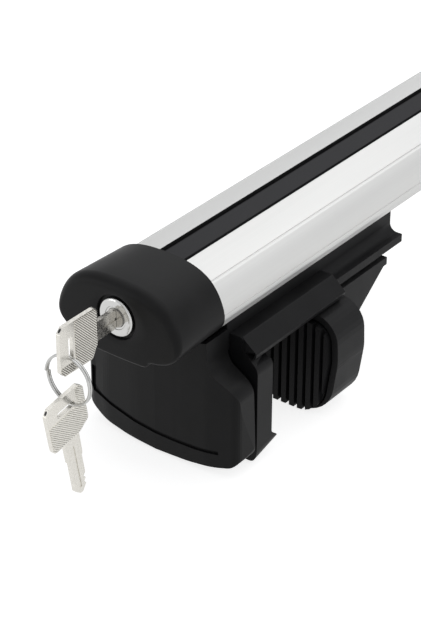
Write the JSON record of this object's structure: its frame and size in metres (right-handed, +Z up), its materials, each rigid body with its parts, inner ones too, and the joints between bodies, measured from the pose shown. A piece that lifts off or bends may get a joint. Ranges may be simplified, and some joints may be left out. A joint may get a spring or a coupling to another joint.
{
  "type": "roof rack crossbar",
  "caption": "Lockable aero crossbar for raised roof rails: a slotted aluminium bar on clamping feet with end caps and a key on a ring.",
  "frame": {"origin": "the middle of the flat top of the rubber strip in the bar", "axes": "+Y along the bar, from the end with the keys to the other end; +Z up; X along the car's rails"},
  "size_m": [0.1024, 1.2473, 0.0997],
  "materials": {
    "anodised_aluminium": "satin anodised",
    "strip_rubber": "matt extruded rubber",
    "cap_plastic": "fine grained moulding",
    "cover_plastic": "fine grained moulding",
    "saddle_plastic": "smooth moulding",
    "liner_plastic": "smooth moulding",
    "jaw_plastic": "glass-filled moulding",
    "pad_rubber": "ribbed rubber",
    "lock_chrome": "polished",
    "lock_nickel": "worn nickel",
    "zinc_steel": "zinc plated",
    "black_steel": "blacked",
    "key_nickel": "brushed nickel silver",
    "ring_steel": "bright wire"
  },
  "bodies": {
    "root": {"crossbar_profile": "anodised_aluminium", "slot_strip": "strip_rubber", "foot_cover_a": "cover_plastic", "cover_screws_a": "black_steel", "foot_saddle_a": "saddle_plastic", "saddle_bolts_a": "zinc_steel", "nut_plate_a": "zinc_steel", "rail_liner_a": "liner_plastic", "liner_screws_a": "black_steel", "bolt_washer_a": "zinc_steel", "foot_cover_b": "cover_plastic", "cover_screws_b": "black_steel", "foot_saddle_b": "saddle_plastic", "saddle_bolts_b": "zinc_steel", "nut_plate_b": "zinc_steel", "rail_liner_b": "liner_plastic", "liner_screws_b": "black_steel", "bolt_washer_b": "zinc_steel"},
    "cap_a": {"end_cap_a": "cap_plastic", "lock_body_a": "lock_chrome", "lock_nut_a": "zinc_steel"},
    "plug_a": {"lock_plug_a": "lock_nickel", "lock_cam_a": "zinc_steel", "cam_screw_a": "zinc_steel"},
    "jaw_a": {"inner_jaw_a": "jaw_plastic", "jaw_nut_a": "zinc_steel", "jaw_pad_a": "pad_rubber"},
    "bolt_a": {"clamp_bolt_a": "zinc_steel"},
    "cap_b": {"end_cap_b": "cap_plastic", "lock_body_b": "lock_chrome", "lock_nut_b": "zinc_steel"},
    "plug_b": {"lock_plug_b": "lock_nickel", "lock_cam_b": "zinc_steel", "cam_screw_b": "zinc_steel"},
    "jaw_b": {"inner_jaw_b": "jaw_plastic", "jaw_nut_b": "zinc_steel", "jaw_pad_b": "pad_rubber"},
    "bolt_b": {"clamp_bolt_b": "zinc_steel"},
    "key": {"key": "key_nickel"},
    "ring": {"split_ring": "ring_steel"},
    "spare_key": {"spare_key": "key_nickel"}
  },
  "joints": [
    {"name": "cap_a_pull", "type": "slide", "parent": "root", "child": "cap_a", "axis": [0, -1, 0], "range_m": [0, 0.06]},
    {"name": "plug_a_turn", "type": "hinge", "parent": "cap_a", "child": "plug_a", "pos_m": [0, -0.59, -0.0124], "axis": [0, 1, 0], "range_deg": [0, 90]},
    {"name": "jaw_a_slide", "type": "slide", "parent": "root", "child": "jaw_a", "axis": [0, -1, 0], "range_m": [-0.01, 0.03]},
    {"name": "bolt_a_turn", "type": "hinge", "parent": "root", "child": "bolt_a", "pos_m": [0, -0.54, -0.0316], "axis": [0, 1, 0], "range_deg": [-3601, 10801]},
    {"name": "cap_b_pull", "type": "slide", "parent": "root", "child": "cap_b", "axis": [0, 1, 0], "range_m": [0, 0.06]},
    {"name": "plug_b_turn", "type": "hinge", "parent": "cap_b", "child": "plug_b", "pos_m": [0, 0.59, -0.0124], "axis": [0, -1, 0], "range_deg": [0, 90]},
    {"name": "jaw_b_slide", "type": "slide", "parent": "root", "child": "jaw_b", "axis": [0, 1, 0], "range_m": [-0.01, 0.03]},
    {"name": "bolt_b_turn", "type": "hinge", "parent": "root", "child": "bolt_b", "pos_m": [0, 0.54, -0.0316], "axis": [0, -1, 0], "range_deg": [-3601, 10801]},
    {"name": "key_pull", "type": "slide", "parent": "plug_a", "child": "key", "axis": [0, -1, 0], "range_m": [0, 0.025]},
    {"name": "ring_swing", "type": "hinge", "parent": "key", "child": "ring", "pos_m": [-0.001, -0.6302, -0.01696], "axis": [1, 0, 0], "range_deg": [-30, 10]},
    {"name": "spare_key_swing", "type": "hinge", "parent": "ring", "child": "spare_key", "pos_m": [-0.001, -0.6302, -0.04056], "axis": [1, 0, 0], "range_deg": [-30, 15]}
  ],
  "couplings": [
    {"joint": "bolt_a_turn", "follows": "jaw_a_slide", "rad_per_m": 6283.2},
    {"joint": "bolt_b_turn", "follows": "jaw_b_slide", "rad_per_m": 6283.2}
  ]
}
